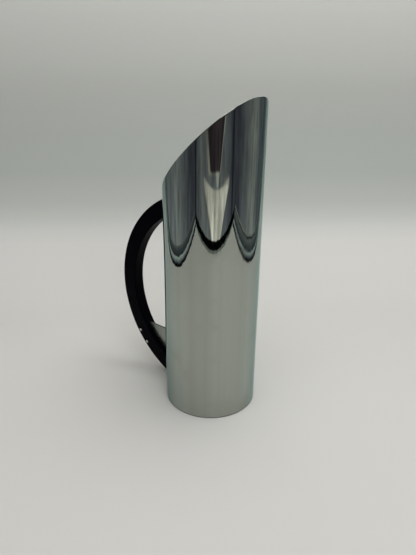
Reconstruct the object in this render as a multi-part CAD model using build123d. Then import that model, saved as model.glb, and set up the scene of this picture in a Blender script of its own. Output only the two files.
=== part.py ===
import os
from math import asin, cos, radians, sin, sqrt, tan

from build123d import *

# A slant-topped water pitcher: a straight polished steel tube with a flat base and one flat
# black handle, cut from a ring, that stands out from the low side of the rim.
# +Z is up, the origin is where the body's axis meets the surface it stands on, the high side
# of the rim is at +X and the handle is at -X, in the XZ plane. All sizes are millimetres.

# Body and base
body_diameter = 89.0
body_wall = 1.0
back_height = 203.0          # low side of the rim, above the handle
rim_slant = 45.0             # degrees between the rim's plane and the base
rim_edge_radius = 0.3        # eased edges of the pouring rim
foot_edge_radius = 0.6       # eased outer edge of the foot
base_thickness = 1.5

# Handle, a flat bar that follows one arc from wall to wall
handle_reach = 68.0          # from the body's wall to the outer edge at its furthest
handle_width = 16.2          # across the arc
handle_thickness = 12.7      # across the flat faces
handle_rim_gap = 3.0         # from the low rim down to the outer edge, at the wall
handle_foot_gap = 1.7        # from the base plane up to the outer edge, at the wall
handle_edge_radius = 1.2
handle_wall_clearance = 0.1  # between the coped ends and the wall

# Lower bracket, a plate welded to the wall edge-on, in a saw-cut slot of the handle
bracket_height = 53.0        # its level top edge, above the base plane
bracket_edge_inset = 0.3     # its curved edge lies this far inside the handle's outer edge

# Upper tang, a short tongue welded to the wall, hidden in a mortise of the handle's end
tang_length = 12.0
tang_height = 7.0

# Plate and slots
plate_thickness = 2.5        # the bracket and the tang are cut from one plate
slot_side_clearance = 0.1    # on each face of the plate
slot_end_clearance = 0.2     # past the plate's edges, inside the handle

# Cross pins, flush with the handle's flat faces
pin_diameter = 3.0
pin_clearance = 0.02         # radial, in the handle and in the plates
bracket_pin_edge = 3.4       # pin centre to the handle's outer edge
bracket_pin_drop = 10.0      # first pin's centre below the bracket's top edge
bracket_pin_spacing = 14.5   # along the arc that both pins lie on
tang_pin_offset = 5.2        # pin centre from the wall

# Sizes that follow from the ones above
body_radius = body_diameter / 2
bore_radius = body_radius - body_wall
front_height = back_height + body_diameter * tan(radians(rim_slant))
seat_radius = body_radius + handle_wall_clearance

handle_top = back_height - handle_rim_gap
half_chord = (handle_top - handle_foot_gap) / 2
outer_radius = (half_chord**2 + handle_reach**2) / (2 * handle_reach)
inner_radius = outer_radius - handle_width
middle_radius = outer_radius - handle_width / 2
centre_x = outer_radius - handle_reach - body_radius
centre_z = handle_foot_gap + half_chord

slot_thickness = plate_thickness + 2 * slot_side_clearance
tang_middle_x = -body_radius - tang_length / 2
tang_middle_z = centre_z + sqrt(middle_radius**2 - (tang_middle_x - centre_x) ** 2)


def slab(sketch, thickness):
    """A sketch of the XZ plane, given thickness evenly about that plane."""
    return extrude(Plane.XZ * sketch, amount=thickness / 2, both=True)


def post(radius, height):
    """An upright cylinder about the body's axis that starts below the base plane."""
    return Pos(0, 0, height / 2) * Cylinder(radius, 1.5 * height)


def pin_places():
    """The cross pins' centres in the XZ plane: bracket high, bracket low, tang."""
    pitch_radius = outer_radius - bracket_pin_edge
    first_angle = asin((centre_z - bracket_height + bracket_pin_drop) / pitch_radius)
    second_angle = first_angle + bracket_pin_spacing / pitch_radius
    places = [
        (centre_x - pitch_radius * cos(angle), centre_z - pitch_radius * sin(angle))
        for angle in (first_angle, second_angle)
    ]
    places.append((-body_radius - tang_pin_offset, tang_middle_z))
    return places


def cross_rod(place, radius, length):
    """A round rod along Y, centred on the XZ plane."""
    return slab(Pos(*place) * Circle(radius), length)


def pin_holes():
    radius = pin_diameter / 2 + pin_clearance
    return [cross_rod(place, radius, 2 * handle_thickness) for place in pin_places()]


def body_tube():
    tube = Cylinder(body_radius, front_height, align=(Align.CENTER, Align.CENTER, Align.MIN))
    tube -= Cylinder(bore_radius, front_height, align=(Align.CENTER, Align.CENTER, Align.MIN))
    slant = radians(rim_slant)
    rim_plane = Plane(origin=(-body_radius, 0, back_height), z_dir=(-sin(slant), 0, cos(slant)))
    tube = split(tube, bisect_by=rim_plane, keep=Keep.BOTTOM)
    rim_edges = [edge for edge in tube.edges() if edge.geom_type == GeomType.ELLIPSE]
    tube = fillet(rim_edges, rim_edge_radius)
    foot_edge = tube.edges().filter_by(GeomType.CIRCLE).group_by(Axis.Z)[0].sort_by(SortBy.RADIUS)[-1]
    return fillet(foot_edge, foot_edge_radius)


def base_disc():
    return Cylinder(bore_radius, base_thickness, align=(Align.CENTER, Align.CENTER, Align.MIN))


def handle():
    centre = Pos(centre_x, centre_z)
    reach = 2 * outer_radius
    ring = centre * (Circle(outer_radius) - Circle(inner_radius))
    ring -= Pos(reach / 2, centre_z) * Rectangle(reach, 2 * reach)
    bar = slab(ring, handle_thickness)
    bar = fillet(bar.edges().filter_by(GeomType.CIRCLE), handle_edge_radius)
    bar -= post(seat_radius, front_height)
    bar -= slab(bracket_slot(), slot_thickness)
    bar -= slab(tang_outline(slot_end_clearance), slot_thickness)
    for hole in pin_holes():
        bar -= hole
    return bar


def bracket_slot():
    """All of the handle below the bracket's top edge: a saw cut from the lower end."""
    depth = bracket_height + slot_end_clearance
    return Pos(-outer_radius, depth / 2) * Rectangle(2 * outer_radius, depth)


def tang_outline(growth):
    """The tang's outline from inside the body out, larger by growth on its three free edges."""
    length = body_radius + tang_length + growth
    return Pos(-length / 2, tang_middle_z) * Rectangle(length, tang_height + 2 * growth)


def lower_bracket():
    outline = Pos(centre_x, centre_z) * Circle(outer_radius - bracket_edge_inset)
    outline &= bracket_outline_limit()
    plate = slab(outline, plate_thickness) - post(body_radius, front_height)
    for hole in pin_holes()[:2]:
        plate -= hole
    return plate


def bracket_outline_limit():
    """The half plane strip below the bracket's top edge, left of the body's axis."""
    return Pos(-outer_radius, bracket_height / 2) * Rectangle(2 * outer_radius, bracket_height)


def upper_tang():
    plate = slab(tang_outline(0), plate_thickness) - post(body_radius, front_height)
    return plate - pin_holes()[2]


def cross_pins():
    names = ("bracket_pin_high", "bracket_pin_low", "tang_pin")
    return {
        name: cross_rod(place, pin_diameter / 2, handle_thickness)
        for name, place in zip(names, pin_places())
    }


parts = {
    "body_tube": body_tube(),
    "base_disc": base_disc(),
    "handle": handle(),
    "lower_bracket": lower_bracket(),
    "upper_tang": upper_tang(),
    **cross_pins(),
}

os.makedirs("parts", exist_ok=True)
for name, part in parts.items():
    export_step(part, f"parts/{name}.step")
    print(name, "volume", round(part.volume, 1))
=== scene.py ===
from math import cos, pi, radians, sin, tan

import bmesh
import bpy
from mathutils import Matrix, Vector


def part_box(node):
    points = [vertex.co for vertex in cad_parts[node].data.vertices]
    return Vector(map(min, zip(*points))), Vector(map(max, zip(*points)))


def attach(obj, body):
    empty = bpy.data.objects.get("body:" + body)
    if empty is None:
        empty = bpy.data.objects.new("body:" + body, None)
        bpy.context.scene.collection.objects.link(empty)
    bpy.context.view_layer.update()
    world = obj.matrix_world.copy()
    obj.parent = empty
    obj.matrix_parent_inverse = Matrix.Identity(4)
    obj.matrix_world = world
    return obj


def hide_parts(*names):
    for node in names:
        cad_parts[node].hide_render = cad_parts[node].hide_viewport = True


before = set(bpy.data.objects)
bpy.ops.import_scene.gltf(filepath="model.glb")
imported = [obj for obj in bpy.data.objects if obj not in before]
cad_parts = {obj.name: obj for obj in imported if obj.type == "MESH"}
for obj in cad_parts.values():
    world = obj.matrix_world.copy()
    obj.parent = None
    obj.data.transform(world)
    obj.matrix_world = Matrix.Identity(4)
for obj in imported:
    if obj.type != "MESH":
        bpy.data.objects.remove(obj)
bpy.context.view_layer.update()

# A slant-topped steel water pitcher with a black arched handle, in metres, in the CAD frame:
# +Z up, the high pouring side at +X, the handle at -X.
mm = 0.001
samePlace = 1e-7                # metres: corners this near are one
noiseSpread = (0.35, 0.65)      # most of what a noise texture gives lies in here
wideSpread = (0.3, 0.7)         # and nearly all of it in here
roughnessSpread = 0.15          # how much a patchy roughness goes up and down


def linearColour(hexCode):
    channels = [int(hexCode[i:i + 2], 16) / 255 for i in (1, 3, 5)]
    return [c / 12.92 if c <= 0.04045 else ((c + 0.055) / 1.055) ** 2.4 for c in channels] + [1.0]


def addNode(tree, kind, settings=None, inputs=None, stops=()):
    node = tree.nodes.new(kind)
    for name, value in (settings or {}).items():
        setattr(node, name, value)
    for name, value in (inputs or {}).items():
        if isinstance(value, bpy.types.NodeSocket):
            tree.links.new(value, node.inputs[name])
        else:
            node.inputs[name].default_value = value
    for i, (place, hexCode) in enumerate(stops):        # a colour ramp starts with two of its stops
        stop = node.color_ramp.elements[i] if i < 2 else node.color_ramp.elements.new(place)
        stop.position = place
        stop.color = linearColour(hexCode)
    return node


def newMaterial(name):
    material = bpy.data.materials.new(name)
    material.use_nodes = True
    material.node_tree.nodes.clear()
    return material, material.node_tree


def giveMaterials(piece, *materials):
    for slot in range(len(materials)):
        if slot < len(piece.data.materials):
            piece.data.materials[slot] = materials[slot]
        else:
            piece.data.materials.append(materials[slot])


def finishPiece(mesh, name, *materials, smoothAngle=30):
    for face in mesh.faces:
        face.smooth = True
    for edge in mesh.edges:
        if len(edge.link_faces) == 2:
            edge.smooth = edge.calc_face_angle() < radians(smoothAngle)
    data = bpy.data.meshes.new(name)
    mesh.to_mesh(data)
    mesh.free()
    piece = bpy.data.objects.new(name, data)
    bpy.context.scene.collection.objects.link(piece)
    giveMaterials(piece, *materials)
    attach(piece, "root")
    return piece


steel = {
    "colour": "#a9afa8",        # cold rolled sheet, a little green under the paper's light
    "stain": "#9ea299",         # the darker bands along the drawing
    "smear": "#a0a49b",         # under a wiped film
    "edgeTint": "#cfe2e3",      # the colour it turns at a glancing angle
    "roughness": 0.025,
    "smudge": 0.05,             # what a wiped film adds to the roughness
    "smudgeSize": 30.0,         # mm
    "smudgeCover": (0.5, 0.72), # where in the noise the film starts, and where it is full
    "lineSpacing": 2.5,         # mm between drawing lines, as coarse as it needs to show
    "lineLength": 200.0,        # mm
    "lineDepth": 0.0015,        # mm
    "waveSpacing": 18.0,        # mm between the shallow waves that rolling leaves
    "waveDepth": 0.012,         # mm
    "footLine": 0.8,            # mm, a band at the foot painted dark and dull: painted shade for the contact shadow along the foot
    "footBlend": 0.2,           # how far above and below that line it turns bright, as a share of it
    # the colour of the painted contact shade at the foot
    "footShadeColour": "#3e4441",
    "footRoughness": 0.35,
}


def polishedSteel():
    material, tree = newMaterial("polished stainless steel")    # drawn, then buffed to a mirror
    place = addNode(tree, "ShaderNodeTexCoord").outputs["Object"]
    lengthwise = addNode(tree, "ShaderNodeMapping", inputs={
        "Vector": place, "Scale": [1 / mm, 1 / mm, steel["lineSpacing"] / steel["lineLength"] / mm]})
    drawing = addNode(tree, "ShaderNodeTexNoise", inputs={
        "Vector": lengthwise.outputs[0], "Scale": 1 / steel["lineSpacing"],
        "Detail": 2.0, "Roughness": 0.6})
    bands = addNode(tree, "ShaderNodeTexNoise", inputs={
        "Vector": lengthwise.outputs[0], "Scale": 1 / steel["waveSpacing"], "Detail": 2.0})
    waves = addNode(tree, "ShaderNodeTexNoise", inputs={
        "Vector": place, "Scale": 1 / (steel["waveSpacing"] * mm), "Detail": 1.0})
    smudges = addNode(tree, "ShaderNodeTexNoise", inputs={
        "Vector": place, "Scale": 1 / (steel["smudgeSize"] * mm), "Detail": 4.0, "Roughness": 0.6})
    film = addNode(tree, "ShaderNodeMapRange", {"interpolation_type": "SMOOTHSTEP"}, {
        "Value": smudges.outputs["Fac"], "From Min": steel["smudgeCover"][0],
        "From Max": steel["smudgeCover"][1]}).outputs[0]
    banded = addNode(tree, "ShaderNodeMapRange", inputs={
        "Value": bands.outputs["Fac"], "From Min": noiseSpread[0], "From Max": noiseSpread[1]})
    tint = addNode(tree, "ShaderNodeMix", {"data_type": "RGBA"}, {
        "Factor": banded.outputs[0], "A": linearColour(steel["colour"]), "B": linearColour(steel["stain"])})
    filmed = addNode(tree, "ShaderNodeMix", {"data_type": "RGBA"}, {
        "Factor": film, "A": tint.outputs["Result"], "B": linearColour(steel["smear"])})
    height = addNode(tree, "ShaderNodeSeparateXYZ", inputs={0: place}).outputs["Z"]
    # Painted shade: the lowest band of the wall is darkened, standing in for the contact shadow at the
    # foot.
    inFootShade = addNode(tree, "ShaderNodeMapRange", {"interpolation_type": "SMOOTHSTEP"}, {
        "Value": height, "From Min": (1 - steel["footBlend"]) * steel["footLine"] * mm,
        "From Max": (1 + steel["footBlend"]) * steel["footLine"] * mm,
        "To Min": 1.0, "To Max": 0.0}).outputs[0]
    ground = addNode(tree, "ShaderNodeMix", {"data_type": "RGBA"}, {
        "Factor": inFootShade, "A": filmed.outputs["Result"], "B": linearColour(steel["footShadeColour"])})
    rough = addNode(tree, "ShaderNodeMath", {"operation": "MULTIPLY_ADD"}, {
        0: film, 1: steel["smudge"], 2: steel["roughness"]})
    dulled = addNode(tree, "ShaderNodeMix", {"data_type": "FLOAT"}, {
        "Factor": inFootShade, "A": rough.outputs[0], "B": steel["footRoughness"]})
    waveBump = addNode(tree, "ShaderNodeBump", inputs={
        "Height": waves.outputs["Fac"], "Distance": steel["waveDepth"] * mm, "Strength": 1.0})
    lineBump = addNode(tree, "ShaderNodeBump", inputs={
        "Height": drawing.outputs["Fac"], "Distance": steel["lineDepth"] * mm, "Strength": 1.0,
        "Normal": waveBump.outputs[0]})
    shader = addNode(tree, "ShaderNodeBsdfPrincipled", inputs={
        "Base Color": ground.outputs["Result"], "Metallic": 1.0, "Roughness": dulled.outputs["Result"],
        "Specular Tint": linearColour(steel["edgeTint"]), "Normal": lineBump.outputs[0]})
    addNode(tree, "ShaderNodeOutputMaterial", inputs={"Surface": shader.outputs[0]})
    return material


# The steel that isn't a mirror. Grain sizes are in mm, each drawn coarse enough to show.
plates = {
    "name": "belt-ground stainless steel",      # dull, with short parallel scratches
    "colour": "#999f99", "scratch": "#8d938d",
    "sawnEdgeAndShade": "#5d625f",                       # the sawn top edge, painted darker than the faces where it faces up: a duller cut edge with painted shade of the joint
    "facingUp": (0.8, 0.95),                    # a normal's Z where that edge starts and is full
    "roughness": 0.32, "along": "X", "spacing": 0.8, "length": 14.0, "depth": 0.006,
}
pins = {
    "name": "filed stainless steel",            # the pins' ends and the rim, bright but not a mirror
    "colour": "#c6cac5", "scratch": "#a9ada8",
    "roughness": 0.28, "along": "X", "spacing": 0.5, "length": 6.0, "depth": 0.006,
}
weldMetal = {
    "name": "brushed stainless weld",           # bright, a trace of straw left by the heat
    "colour": "#bdbaae", "scratch": "#9c998d",
    "roughness": 0.3, "along": "X", "spacing": 0.7, "length": 3.0, "depth": 0.008,
}
inside = {
    "name": "mop-finished stainless steel",     # dull, with fine rings round the bore
    "colour": "#dedfdb", "scratch": "#d3d4d0",
    "roughness": 0.4, "along": "XY", "spacing": 0.9, "length": 120.0, "depth": 0.0025,
}


def groundSteel(finish):
    material, tree = newMaterial(finish["name"])
    place = addNode(tree, "ShaderNodeTexCoord").outputs["Object"]
    run = finish["spacing"] / finish["length"]
    laid = addNode(tree, "ShaderNodeMapping", inputs={
        "Vector": place, "Scale": [(run if axis in finish["along"] else 1) / mm for axis in "XYZ"]})
    grain = addNode(tree, "ShaderNodeTexNoise", inputs={
        "Vector": laid.outputs[0], "Scale": 1 / finish["spacing"], "Detail": 3.0})
    level = addNode(tree, "ShaderNodeMapRange", inputs={
        "Value": grain.outputs["Fac"], "From Min": noiseSpread[0], "From Max": noiseSpread[1]}).outputs[0]
    colour = addNode(tree, "ShaderNodeMix", {"data_type": "RGBA"}, {
        "Factor": level, "A": linearColour(finish["scratch"]),
        "B": linearColour(finish["colour"])}).outputs["Result"]
    # Painted shade: faces pointing up are darkened, a duller sawn edge with the shade of the joint painted
    # on it.
    if "sawnEdgeAndShade" in finish:
        facing = addNode(tree, "ShaderNodeNewGeometry").outputs["Normal"]
        up = addNode(tree, "ShaderNodeSeparateXYZ", inputs={0: facing}).outputs["Z"]
        topShadeMask = addNode(tree, "ShaderNodeMapRange", inputs={
            "Value": up, "From Min": finish["facingUp"][0], "From Max": finish["facingUp"][1]})
        colour = addNode(tree, "ShaderNodeMix", {"data_type": "RGBA"}, {
            "Factor": topShadeMask.outputs[0], "A": colour,
            "B": linearColour(finish["sawnEdgeAndShade"])}).outputs["Result"]
    rough = addNode(tree, "ShaderNodeMapRange", inputs={
        "Value": level, "To Min": finish["roughness"] * (1 + roughnessSpread),
        "To Max": finish["roughness"] * (1 - roughnessSpread)})
    bump = addNode(tree, "ShaderNodeBump", inputs={
        "Height": grain.outputs["Fac"], "Distance": finish["depth"] * mm, "Strength": 1.0})
    shader = addNode(tree, "ShaderNodeBsdfPrincipled", inputs={
        "Base Color": colour, "Metallic": 1.0, "Roughness": rough.outputs[0], "Normal": bump.outputs[0]})
    addNode(tree, "ShaderNodeOutputMaterial", inputs={"Surface": shader.outputs[0]})
    return material


phenolic = {
    "colour": "#000003",
    "worn": "#030309",          # where hands have rubbed it
    "roughness": 0.45,
    "gloss": 0.025,             # specular level: an oiled, dead-black surface
    "poreSize": 1.2,            # mm, as coarse as it needs to show
    "poreDepth": 0.01,          # mm
    "wearSize": 25.0,           # mm
}


def blackPhenolic():
    material, tree = newMaterial("black phenolic resin")        # cast, filed and waxed: a soft dark sheen
    place = addNode(tree, "ShaderNodeTexCoord").outputs["Object"]
    wear = addNode(tree, "ShaderNodeTexNoise", inputs={
        "Vector": place, "Scale": 1 / (phenolic["wearSize"] * mm), "Detail": 3.0})
    pores = addNode(tree, "ShaderNodeTexNoise", inputs={
        "Vector": place, "Scale": 1 / (phenolic["poreSize"] * mm), "Detail": 2.0})
    colour = addNode(tree, "ShaderNodeMix", {"data_type": "RGBA"}, {
        "Factor": wear.outputs["Fac"], "A": linearColour(phenolic["colour"]),
        "B": linearColour(phenolic["worn"])})
    rough = addNode(tree, "ShaderNodeMapRange", inputs={
        "Value": wear.outputs["Fac"], "From Min": wideSpread[0], "From Max": wideSpread[1],
        "To Min": phenolic["roughness"] * (1 - roughnessSpread),
        "To Max": phenolic["roughness"] * (1 + roughnessSpread)})
    bump = addNode(tree, "ShaderNodeBump", inputs={
        "Height": pores.outputs["Fac"], "Distance": phenolic["poreDepth"] * mm, "Strength": 1.0})
    shader = addNode(tree, "ShaderNodeBsdfPrincipled", inputs={
        "Base Color": colour.outputs["Result"], "Roughness": rough.outputs[0], "IOR": 1.5,
        "Specular IOR Level": phenolic["gloss"], "Normal": bump.outputs[0]})
    addNode(tree, "ShaderNodeOutputMaterial", inputs={"Surface": shader.outputs[0]})
    return material


low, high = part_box("body_tube")
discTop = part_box("base_disc")[1]

body = {
    "radius": (high.x - low.x) / 2,
    "bore": discTop.x,          # the base disc fills the bore
    "top": high.z,
    "slant": 45,                # degrees
    "footRadius": 0.6 * mm,
    "rimEasing": 0.3 * mm,
    "support": 1.2 * mm,        # a row below the rim that keeps its easing off the wall's shading
    "sides": 360,
    "arcSteps": 4,
    "easingSteps": 3,
    "onRim": 0.001 * mm,        # how near the cut a corner lies that belongs to the rim's edges
    "rimCorner": 0.1,           # radians: an edge of the cut that is sharper than this is eased
    "inward": -0.5,             # the outward part of a normal, under which a face is inside
    "alongCut": 0.99,           # its part along the cut's own normal, over which it is the rim
}


def bodyShell(outerFinish, innerFinish, rimFinish):
    outer, inner, foot, slope = body["radius"], body["bore"], body["footRadius"], radians(body["slant"])
    sharpTip = body["top"] + body["rimEasing"] * (1 / tan((pi / 2 - slope) / 2) - 1)
    turns = [radians(90 * i / body["arcSteps"]) for i in range(body["arcSteps"] + 1)]
    outline = [(inner, sharpTip), (inner, 0)]
    outline += [(outer - foot + foot * sin(a), foot - foot * cos(a)) for a in turns]
    outline += [(outer, 2 * foot), (outer, sharpTip)]
    mesh = bmesh.new()
    line = [mesh.verts.new((x, 0, z)) for x, z in outline]
    edges = [mesh.edges.new(pair) for pair in zip(line, line[1:] + line[:1])]
    bmesh.ops.spin(mesh, geom=line + edges, cent=(0, 0, 0), axis=(0, 0, 1), angle=2 * pi,
                   steps=body["sides"], use_merge=True)
    cut, across = Vector((outer, 0, sharpTip)), Vector((-sin(slope), 0, cos(slope)))
    for depth, clear in ((body["support"], False), (0, True)):
        bmesh.ops.bisect_plane(mesh, geom=mesh.verts[:] + mesh.edges[:] + mesh.faces[:], dist=samePlace,
                               plane_co=cut - depth * across, plane_no=across, clear_outer=clear)
    bmesh.ops.bridge_loops(mesh, edges=[edge for edge in mesh.edges if edge.is_boundary])
    onCut = [edge for edge in mesh.edges
             if all(abs((corner.co - cut).dot(across)) < body["onRim"] for corner in edge.verts)]
    rims = [edge for edge in onCut if edge.calc_face_angle(0) > body["rimCorner"]]
    bmesh.ops.bevel(mesh, geom=rims, offset=body["rimEasing"], offset_type="OFFSET", affect="EDGES",
                    segments=body["easingSteps"], profile=0.5, material=-1)
    for corner in mesh.verts:
        corner.co.z = min(corner.co.z, body["top"])     # the thin tip is blunted
    bmesh.ops.recalc_face_normals(mesh, faces=mesh.faces)
    for face in mesh.faces:
        place = face.calc_center_median()
        isInside = face.normal.dot(Vector((place.x, place.y, 0)).normalized()) < body["inward"]
        isRim = face.normal.dot(across) > body["alongCut"]
        face.material_index = 2 if isRim else int(isInside)
    piece = finishPiece(mesh, "bodyShell", outerFinish, innerFinish, rimFinish)
    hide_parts("body_tube")


welds = {
    "baseRadius": 1.6 * mm,     # the concave fillet where the base meets the wall, inside
    "baseSides": 180,
    "baseSteps": 6,
    "beadRadius": 0.75 * mm,    # the bracket's two beads on the wall
    "beadSink": 0.2,            # how much of a bead's radius is past the corner it fills
    "beadPitch": 1.1 * mm,      # ripples along a bead
    "beadSides": 12,
    "beadEndSteps": 3,          # in the rounding of a bead's ends
    "ripple": 0.88,             # a bead's waist between two ripples
}


def baseWeld(finish):
    bore, top, radius = body["bore"], discTop.z, welds["baseRadius"]
    turns = [radians(90 * i / welds["baseSteps"]) for i in range(welds["baseSteps"] + 1)]
    outline = [(bore, top)]
    outline += [(bore - radius + radius * sin(a), top + radius - radius * cos(a)) for a in turns]
    mesh = bmesh.new()
    line = [mesh.verts.new((x, 0, z)) for x, z in outline]
    edges = [mesh.edges.new(pair) for pair in zip(line, line[1:] + line[:1])]
    bmesh.ops.spin(mesh, geom=line + edges, cent=(0, 0, 0), axis=(0, 0, 1), angle=2 * pi,
                   steps=welds["baseSides"], use_merge=True)
    bmesh.ops.recalc_face_normals(mesh, faces=mesh.faces)
    finishPiece(mesh, "baseWeld", finish)


# A rippled bead up the corner between one face of the bracket and the wall.
def bracketBead(name, side, finish):
    bottom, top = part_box("lower_bracket")
    radius, halfPlate = welds["beadRadius"], (top.y - bottom.y) / 2
    length = top.z - bottom.z - 2 * radius
    rings = 2 * int(length / welds["beadPitch"])
    turns = [radians(90 * i / welds["beadEndSteps"]) for i in range(welds["beadEndSteps"])]
    outline = [(radius * sin(a), -radius * cos(a)) for a in turns]
    outline += [(radius * (welds["ripple"] if i % 2 else 1), i * length / rings) for i in range(rings + 1)]
    outline += [(radius * sin(a), length + radius * cos(a)) for a in reversed(turns)]
    mesh = bmesh.new()
    line = [mesh.verts.new((x, 0, z)) for x, z in outline]
    edges = [mesh.edges.new(pair) for pair in zip(line, line[1:])]
    bmesh.ops.spin(mesh, geom=line + edges, cent=(0, 0, 0), axis=(0, 0, 1), angle=2 * pi,
                   steps=welds["beadSides"], use_merge=True)
    bmesh.ops.remove_doubles(mesh, verts=mesh.verts, dist=samePlace)        # the two poles
    bmesh.ops.translate(mesh, verts=mesh.verts, vec=(
        -body["radius"] - welds["beadSink"] * radius, side * (halfPlate + welds["beadSink"] * radius),
        bottom.z + radius))
    bmesh.ops.recalc_face_normals(mesh, faces=mesh.faces)
    finishPiece(mesh, name, finish, smoothAngle=60)


# The stage is a sheet of paper that sweeps up behind, turned in plan. Sizes are in metres.
stage = {
    "turn": 40.7,               # degrees from +X to the paper's own width direction
    "backWall": 0.43,
    "curve": 0.27,
    "curveSteps": 24,
    "wallHeight": 1.3,
    "reach": 3.0,               # half its width, and how far it runs forward
    "drop": 0.02 * mm,          # just clear of the foot
    "paperShadingByHeight": [                 # the paper's grey by height up the sweep, painted shade and light: lighter on the floor, darker low on the wall, lighter again up it
        (0.0, "#c8c7c3"), (0.005, "#cac9c5"), (0.03, "#cccbc7"), (0.05, "#cccbc7"), (0.065, "#c5c6c2"),
        (0.08, "#babcb7"), (0.1, "#b0b3ae"), (0.14, "#a9ada8"), (0.2, "#adb1ac"), (0.25, "#b8bab5"),
        (0.3, "#c2c4bf"), (0.4, "#cfd0cb")],
    "raggedLength": 0.05,       # how uneven the paper's edge is in a reflection
    "raggedDepth": 0.02,
    "fade": (0.75, 1.5),        # where the paper fades into the pale distance
}

# What the polished wall shows past the paper: the table edge on each side, at so many metres from
# the body's axis. Its colours are by share of its width.
paperEdges = {
    "left": {"along": (-1, 0, 0), "at": 0.400, "width": 0.1, "colours": [
        (0.0, "#050709"), (0.13, "#0b0e12"), (0.2, "#5a6064"), (0.32, "#98a2a2"), (0.42, "#b4bebd"),
        (0.48, "#2c3134"), (0.56, "#3c4346"), (0.8, "#4e5458"), (1.0, "#6b7270")]},
    "right": {"along": (1, 0, 0), "at": 0.420, "width": 0.145, "colours": [
        (0.0, "#050709"), (0.08, "#0b0e12"), (0.15, "#5a6064"), (0.22, "#8d9798"), (0.3, "#b9c4c4"),
        (0.34, "#262b2e"), (0.48, "#4c5356"), (0.76, "#6e7576"), (0.85, "#14171a"), (0.92, "#8b908c")]},
    "front": {"along": (0, -1, 0), "at": 0.485, "width": 0.064, "colours": [
        (0.0, "#0c0e10"), (0.07, "#23272a"), (0.1, "#98a09e"), (0.17, "#98a09e"), (0.24, "#17120f"),
        (0.4, "#050506"), (1.0, "#060607")]},
}


# How far past the paper's nearest edge a point lies, as a share of the table edge, and its colour.
def tableEdges(tree, place):
    ragged = addNode(tree, "ShaderNodeTexNoise", inputs={
        "Vector": place, "Scale": 1 / stage["raggedLength"], "Detail": 3.0})
    past, colour = None, None
    for edge in paperEdges.values():
        outward = Matrix.Rotation(radians(stage["turn"]), 3, "Z") @ Vector(edge["along"])
        reach = addNode(tree, "ShaderNodeVectorMath", {"operation": "DOT_PRODUCT"}, {0: place, 1: outward})
        frayed = addNode(tree, "ShaderNodeMath", {"operation": "MULTIPLY_ADD"}, {
            0: ragged.outputs["Fac"], 1: stage["raggedDepth"], 2: reach.outputs["Value"]})
        start = edge["at"] + stage["raggedDepth"] / 2
        share = addNode(tree, "ShaderNodeMapRange", {"clamp": False}, {
            "Value": frayed.outputs[0], "From Min": start, "From Max": start + edge["width"]}).outputs[0]
        shade = addNode(tree, "ShaderNodeValToRGB", inputs={0: share}, stops=edge["colours"]).outputs[0]
        if past is None:
            past, colour = share, shade
            continue
        further = addNode(tree, "ShaderNodeMath", {"operation": "GREATER_THAN"}, {0: share, 1: past})
        colour = addNode(tree, "ShaderNodeMix", {"data_type": "RGBA"}, {
            "Factor": further.outputs[0], "A": colour, "B": shade}).outputs["Result"]
        past = addNode(tree, "ShaderNodeMath", {"operation": "MAXIMUM"}, {0: share, 1: past}).outputs[0]
    return past, colour


def sweepMaterial():
    material, tree = newMaterial("matt sweep paper")            # pale, no sheen, with painted shade and light by height
    place = addNode(tree, "ShaderNodeTexCoord").outputs["Object"]
    light = addNode(tree, "ShaderNodeLightPath").outputs
    height = addNode(tree, "ShaderNodeSeparateXYZ", inputs={0: place}).outputs["Z"]
    # Painted shade and light: the paper's grey follows its height, standing in for how the lamps light
    # floor and wall.
    top = stage["paperShadingByHeight"][-1][0]
    rise = addNode(tree, "ShaderNodeMapRange", inputs={"Value": height, "From Min": 0.0, "From Max": top})
    shade = addNode(tree, "ShaderNodeValToRGB", inputs={0: rise.outputs[0]},
                    stops=[(level / top, hexCode) for level, hexCode in stage["paperShadingByHeight"]])
    paper = addNode(tree, "ShaderNodeBsdfDiffuse", inputs={"Color": shade.outputs[0]})
    # In a reflection the paper ends in a table edge, and past that the room shows through.
    past, edgeColour = tableEdges(tree, place)
    edge = addNode(tree, "ShaderNodeEmission", inputs={"Color": edgeColour, "Strength": 1.0})
    gone = addNode(tree, "ShaderNodeBsdfTransparent")
    isBeyond = addNode(tree, "ShaderNodeMath", {"operation": "GREATER_THAN"}, {0: past, 1: 1.0})
    beyond = addNode(tree, "ShaderNodeMixShader", inputs={
        0: isBeyond.outputs[0], 1: edge.outputs[0], 2: gone.outputs[0]})
    isPast = addNode(tree, "ShaderNodeMath", {"operation": "GREATER_THAN"}, {0: past, 1: 0.0})
    inGloss = addNode(tree, "ShaderNodeMath", {"operation": "MULTIPLY"}, {
        0: isPast.outputs[0], 1: light["Is Glossy Ray"]})
    seen = addNode(tree, "ShaderNodeMixShader", inputs={
        0: inGloss.outputs[0], 1: paper.outputs[0], 2: beyond.outputs[0]})
    # Seen straight, it fades into the pale distance, and its back isn't there.
    away = addNode(tree, "ShaderNodeVectorMath", {"operation": "LENGTH"}, {0: place})
    far = addNode(tree, "ShaderNodeMapRange", {"interpolation_type": "SMOOTHSTEP"}, {
        "Value": away.outputs["Value"], "From Min": stage["fade"][0], "From Max": stage["fade"][1]})
    fade = addNode(tree, "ShaderNodeMath", {"operation": "MULTIPLY"}, {
        0: far.outputs[0], 1: light["Is Camera Ray"]})
    pale = addNode(tree, "ShaderNodeEmission", inputs={
        "Color": linearColour(room["pale"]), "Strength": 1.0})
    faded = addNode(tree, "ShaderNodeMixShader", inputs={
        0: fade.outputs[0], 1: seen.outputs[0], 2: pale.outputs[0]})
    back = addNode(tree, "ShaderNodeNewGeometry").outputs["Backfacing"]
    fromBehind = addNode(tree, "ShaderNodeMath", {"operation": "MULTIPLY"}, {
        0: back, 1: light["Is Camera Ray"]})
    final = addNode(tree, "ShaderNodeMixShader", inputs={
        0: fromBehind.outputs[0], 1: faded.outputs[0], 2: gone.outputs[0]})
    addNode(tree, "ShaderNodeOutputMaterial", inputs={"Surface": final.outputs[0]})
    return material


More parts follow.
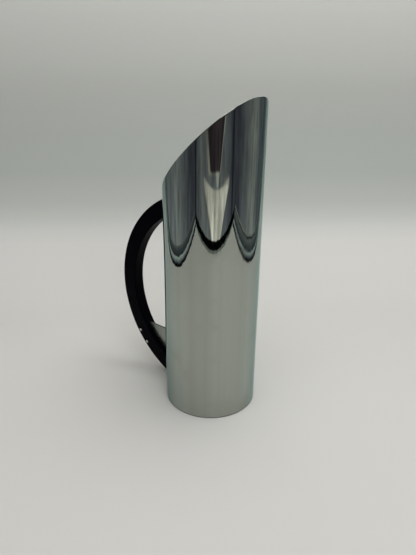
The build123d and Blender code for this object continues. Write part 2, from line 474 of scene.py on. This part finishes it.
def paperSweep():
    wall, curve, steps = stage["backWall"], stage["curve"], stage["curveSteps"]
    turns = [radians(90 * i / steps) for i in range(steps + 1)]
    outline = [(-stage["reach"], 0)]
    outline += [(wall - curve + curve * sin(a), curve - curve * cos(a)) for a in turns]
    outline += [(wall, stage["wallHeight"])]
    mesh = bmesh.new()
    line = [mesh.verts.new((-stage["reach"], y, z)) for y, z in outline]
    edges = [mesh.edges.new(pair) for pair in zip(line, line[1:])]
    grown = bmesh.ops.extrude_edge_only(mesh, edges=edges)["geom"]
    bmesh.ops.translate(mesh, verts=[part for part in grown if isinstance(part, bmesh.types.BMVert)],
                        vec=(2 * stage["reach"], 0, 0))
    bmesh.ops.rotate(mesh, verts=mesh.verts, matrix=Matrix.Rotation(radians(stage["turn"]), 3, "Z"))
    bmesh.ops.translate(mesh, verts=mesh.verts, vec=(0, 0, -stage["drop"]))
    for face in mesh.faces:
        face.smooth = True
    data = bpy.data.meshes.new("paperSweep")
    mesh.to_mesh(data)
    mesh.free()
    if data.polygons[0].normal.z < 0:
        data.flip_normals()
    sweep = bpy.data.objects.new("paperSweep", data)
    bpy.context.scene.collection.objects.link(sweep)
    giveMaterials(sweep, sweepMaterial())


# The dim room that the polished wall reflects. Bearings are degrees from the paper's front,
# heights are degrees above the level, half widths are degrees, and strands are counted in one.
room = {
    "pale": "#b4b6b2",          # what the camera sees past the paper
    "ambient": "#ffffff",
    "ambientStrength": 0.25,
    "tones": {"seam": "#101216", "dark": "#454750", "dim": "#5d6268", "mid": "#71767a", "light": "#7f8382",
              "pale": "#888c89", "cool": "#8a979a"},
    "walls": [
        (-150, "mid"), (-105, "mid"), (-90, "light"), (-80, "mid"), (-66, "dim"), (-52, "dark"),
        (-44, "dark"), (-42, "seam"), (-38, "dim"), (-30, "mid"), (18, "mid"), (28, "dim"), (37, "dark"),
        (39, "seam"), (41, "dark"), (52, "dark"), (64, "dim"), (76, "mid"), (92, "pale"), (102, "light"),
        (112, "dim"), (124, "dim"), (128, "dark"), (133, "mid"), (150, "cool")],
    "streaks": 46,              # noise cells in a full turn
    "streakRise": 9,            # and from the level to straight up
    "streakDepth": 0.45,
    "floorGlow": 1.45,          # the room is lighter low down
    "glowFades": (-20, -12),    # degrees above the level
    "ceiling": "#c2c4c1",
    "ceilingStarts": (12, 34),  # degrees above the level
    "strandRise": 5,            # noise cells of a shape's strands, from the level to straight up
    "topBlur": 0.003,           # the blur at a shape's upper end, as the sine of an angle
    "startBlur": 0.004,         # and at its lower end
    # From "from" up to "widest" a shape's half width grows, and at "to" it is cut off.
    "shapes": {
        "doorFrame": {"at": -0.6, "from": -12.6, "narrow": 12.0, "widest": -6, "wide": 22.2, "to": 80,
                      "bow": 0.0, "shade": "#bcbaac", "between": "#54585a", "soft": 0.04, "strands": 6.0},
        "doorway": {"at": 0.5, "from": -12.4, "narrow": 10.0, "widest": -6, "wide": 20.0, "to": 80,
                    "bow": 0.0, "shade": "#4a3f43", "between": "#2b292f", "soft": 0.05, "strands": 2.0},
        "window": {"at": 4.0, "from": -21.5, "narrow": 3.5, "widest": -13.4, "wide": 27.0, "to": -14.1,
                   "bow": 0.022, "shade": "#fffaf0", "between": "#aaa99f", "soft": 0.1, "strands": 1.7},
        "glint": {"at": 6.0, "from": -13.9, "narrow": 1.5, "widest": -12, "wide": 3.5, "to": -12.3,
                  "bow": 0.0, "shade": "#dcdace", "between": "#8a8c88", "soft": 0.6, "strands": 2.0},
    },
}


# One patch of the room over what is under it: it tapers, its top edge is bowed, and strands of a
# second shade run along it.
def paintShape(tree, around, height, under, shape):
    start, widest, end = [sin(radians(shape[key])) for key in ("from", "widest", "to")]
    halfWidth = addNode(tree, "ShaderNodeMapRange", inputs={
        "Value": height, "From Min": start, "From Max": widest,
        "To Min": shape["narrow"] / 360, "To Max": shape["wide"] / 360})
    offset = addNode(tree, "ShaderNodeMath", {"operation": "SUBTRACT"}, {
        0: around, 1: 0.5 + shape["at"] / 360}).outputs[0]
    across = addNode(tree, "ShaderNodeMath", {"operation": "DIVIDE"}, {
        0: offset, 1: halfWidth.outputs[0]}).outputs[0]
    squared = addNode(tree, "ShaderNodeMath", {"operation": "MULTIPLY"}, {0: across, 1: across}).outputs[0]
    inSides = addNode(tree, "ShaderNodeMapRange", {"interpolation_type": "SMOOTHSTEP"}, {
        "Value": squared, "From Min": 1 - shape["soft"], "From Max": 1 + shape["soft"],
        "To Min": 1.0, "To Max": 0.0})
    bowed = addNode(tree, "ShaderNodeMath", {"operation": "MULTIPLY_ADD"}, {
        0: squared, 1: -shape["bow"], 2: height})
    underTop = addNode(tree, "ShaderNodeMapRange", {"interpolation_type": "SMOOTHSTEP"}, {
        "Value": bowed.outputs[0], "From Min": end - room["topBlur"], "From Max": end + room["topBlur"],
        "To Min": 1.0, "To Max": 0.0})
    overStart = addNode(tree, "ShaderNodeMapRange", {"interpolation_type": "SMOOTHSTEP"}, {
        "Value": height, "From Min": start - room["startBlur"], "From Max": start + room["startBlur"]})
    ends = addNode(tree, "ShaderNodeMath", {"operation": "MULTIPLY"}, {
        0: underTop.outputs[0], 1: overStart.outputs[0]})
    cover = addNode(tree, "ShaderNodeMath", {"operation": "MULTIPLY"}, {
        0: inSides.outputs[0], 1: ends.outputs[0]})
    laid = addNode(tree, "ShaderNodeCombineXYZ", inputs={"X": across, "Y": height})
    drawn = addNode(tree, "ShaderNodeMapping", inputs={
        "Vector": laid.outputs[0], "Scale": [shape["strands"], room["strandRise"], 1]})
    strands = addNode(tree, "ShaderNodeTexNoise", inputs={
        "Vector": drawn.outputs[0], "Scale": 1.0, "Detail": 3.0})
    level = addNode(tree, "ShaderNodeMapRange", inputs={
        "Value": strands.outputs["Fac"], "From Min": noiseSpread[0], "From Max": noiseSpread[1]})
    shade = addNode(tree, "ShaderNodeMix", {"data_type": "RGBA"}, {
        "Factor": level.outputs[0], "A": linearColour(shape["between"]), "B": linearColour(shape["shade"])})
    return addNode(tree, "ShaderNodeMix", {"data_type": "RGBA"}, {
        "Factor": cover.outputs[0], "A": under, "B": shade.outputs["Result"]}).outputs["Result"]


def roomColours(tree):
    way = addNode(tree, "ShaderNodeTexCoord").outputs["Generated"]
    turned = addNode(tree, "ShaderNodeMapping", {"vector_type": "POINT"}, {
        "Vector": way, "Rotation": [0, 0, radians(90 - stage["turn"])]}).outputs[0]
    around = addNode(tree, "ShaderNodeTexGradient", {"gradient_type": "RADIAL"}, {0: turned}).outputs["Fac"]
    height = addNode(tree, "ShaderNodeSeparateXYZ", inputs={0: turned}).outputs["Z"]
    colour = addNode(tree, "ShaderNodeValToRGB", inputs={0: around}, stops=[
        ((bearing + 180) / 360, room["tones"][tone]) for bearing, tone in room["walls"]]).outputs[0]
    for shape in room["shapes"].values():
        colour = paintShape(tree, around, height, colour, shape)
    wallTop, ceilingFull = [sin(radians(angle)) for angle in room["ceilingStarts"]]
    up = addNode(tree, "ShaderNodeMapRange", {"interpolation_type": "SMOOTHSTEP"}, {
        "Value": height, "From Min": wallTop, "From Max": ceilingFull})
    ceiling = addNode(tree, "ShaderNodeMix", {"data_type": "RGBA"}, {
        "Factor": up.outputs[0], "A": colour, "B": linearColour(room["ceiling"])})
    unrolled = addNode(tree, "ShaderNodeCombineXYZ", inputs={"X": around, "Y": height})
    drawn = addNode(tree, "ShaderNodeMapping", inputs={
        "Vector": unrolled.outputs[0], "Scale": [room["streaks"], room["streakRise"], 1]})
    streaks = addNode(tree, "ShaderNodeTexNoise", inputs={
        "Vector": drawn.outputs[0], "Scale": 1.0, "Detail": 5.0, "Roughness": 0.65})
    streaked = addNode(tree, "ShaderNodeMapRange", inputs={
        "Value": streaks.outputs["Fac"], "From Min": wideSpread[0], "From Max": wideSpread[1],
        "To Min": 1 - room["streakDepth"], "To Max": 1 + room["streakDepth"]})
    glowFull, glowGone = [sin(radians(angle)) for angle in room["glowFades"]]
    glow = addNode(tree, "ShaderNodeMapRange", inputs={
        "Value": height, "From Min": glowFull, "From Max": glowGone,
        "To Min": room["floorGlow"], "To Max": 1.0})
    level = addNode(tree, "ShaderNodeMath", {"operation": "MULTIPLY"}, {
        0: streaked.outputs[0], 1: glow.outputs[0]})
    return ceiling.outputs["Result"], level.outputs[0]


def roomWorld():
    world = bpy.data.worlds.new("studio room")
    bpy.context.scene.world = world
    world.use_nodes = True
    tree = world.node_tree
    tree.nodes.clear()
    colour, level = roomColours(tree)
    light = addNode(tree, "ShaderNodeLightPath").outputs
    soft = addNode(tree, "ShaderNodeBackground", inputs={
        "Color": linearColour(room["ambient"]), "Strength": room["ambientStrength"]})
    dim = addNode(tree, "ShaderNodeBackground", inputs={"Color": colour, "Strength": level})
    pale = addNode(tree, "ShaderNodeBackground", inputs={
        "Color": linearColour(room["pale"]), "Strength": 1.0})
    forGloss = addNode(tree, "ShaderNodeMixShader", inputs={
        0: light["Is Glossy Ray"], 1: soft.outputs[0], 2: dim.outputs[0]})
    forCamera = addNode(tree, "ShaderNodeMixShader", inputs={
        0: light["Is Camera Ray"], 1: forGloss.outputs[0], 2: pale.outputs[0]})
    addNode(tree, "ShaderNodeOutputWorld", inputs={"Surface": forCamera.outputs[0]})


# Softboxes: metres, and watts of power.
lamps = {
    "overhead": {"place": (0.2, 0.03, 1.28), "aim": (0, 0, 0.05), "size": (1.2, 1.0), "power": 14.3},
    "front": {"place": (1.1, -0.7, 0.75), "aim": (0, 0, 0.12), "size": (0.8, 0.8), "power": 3.3},
}


def addLamps():
    for name, values in lamps.items():
        lamp = bpy.data.lights.new(name + "Softbox", "AREA")
        lamp.shape = "RECTANGLE"
        lamp.size, lamp.size_y = values["size"]
        lamp.energy = values["power"]
        holder = bpy.data.objects.new(name + "Softbox", lamp)
        bpy.context.scene.collection.objects.link(holder)
        place = Vector(values["place"])
        holder.location = place
        holder.rotation_euler = (Vector(values["aim"]) - place).to_track_quat("-Z", "Y").to_euler()


view = {
    "around": 36.94,            # degrees from the -Y side towards +X
    "distance": 0.4561,         # from the body's axis, level
    "height": 0.3263,
    "heading": 37.38,           # degrees, turned left from +Y
    "pitch": 23.52,             # degrees down
    "roll": 0.62,               # degrees
    "lens": 34.34,              # mm
    "sensor": 36,               # mm
    "nearest": 0.01,            # it sees nothing closer than this
}


def addCamera():
    camera = bpy.data.objects.new("camera", bpy.data.cameras.new("camera"))
    bpy.context.scene.collection.objects.link(camera)
    around = radians(view["around"])
    camera.location = (view["distance"] * sin(around), -view["distance"] * cos(around), view["height"])
    heading, tilt, roll = radians(view["heading"]), radians(90 - view["pitch"]), radians(view["roll"])
    turn = Matrix.Rotation(heading, 3, "Z") @ Matrix.Rotation(tilt, 3, "X") @ Matrix.Rotation(roll, 3, "Z")
    camera.rotation_euler = turn.to_euler()
    camera.data.lens = view["lens"]
    camera.data.sensor_width = view["sensor"]
    camera.data.clip_start = view["nearest"]
    bpy.context.scene.camera = camera


addCamera()
addLamps()
roomWorld()
paperSweep()
print("camera, lamps, room and paper are set")

insideFinish = groundSteel(inside)
plateFinish = groundSteel(plates)
pinFinish = groundSteel(pins)
weldFinish = groundSteel(weldMetal)
bodyShell(polishedSteel(), insideFinish, pinFinish)
print("body is made")

baseWeld(weldFinish)
bracketBead("bracketBeadNear", -1, weldFinish)
bracketBead("bracketBeadFar", 1, weldFinish)
print("welds are made")

nodeFinishes = {
    "base_disc": insideFinish,
    "handle": blackPhenolic(),
    "lower_bracket": plateFinish,
    "upper_tang": plateFinish,
    "bracket_pin_high": pinFinish,
    "bracket_pin_low": pinFinish,
    "tang_pin": pinFinish,
}
for node, finish in nodeFinishes.items():
    giveMaterials(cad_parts[node], finish)
print("CAD nodes have their finishes")

bpy.context.scene.view_settings.view_transform = "Standard"
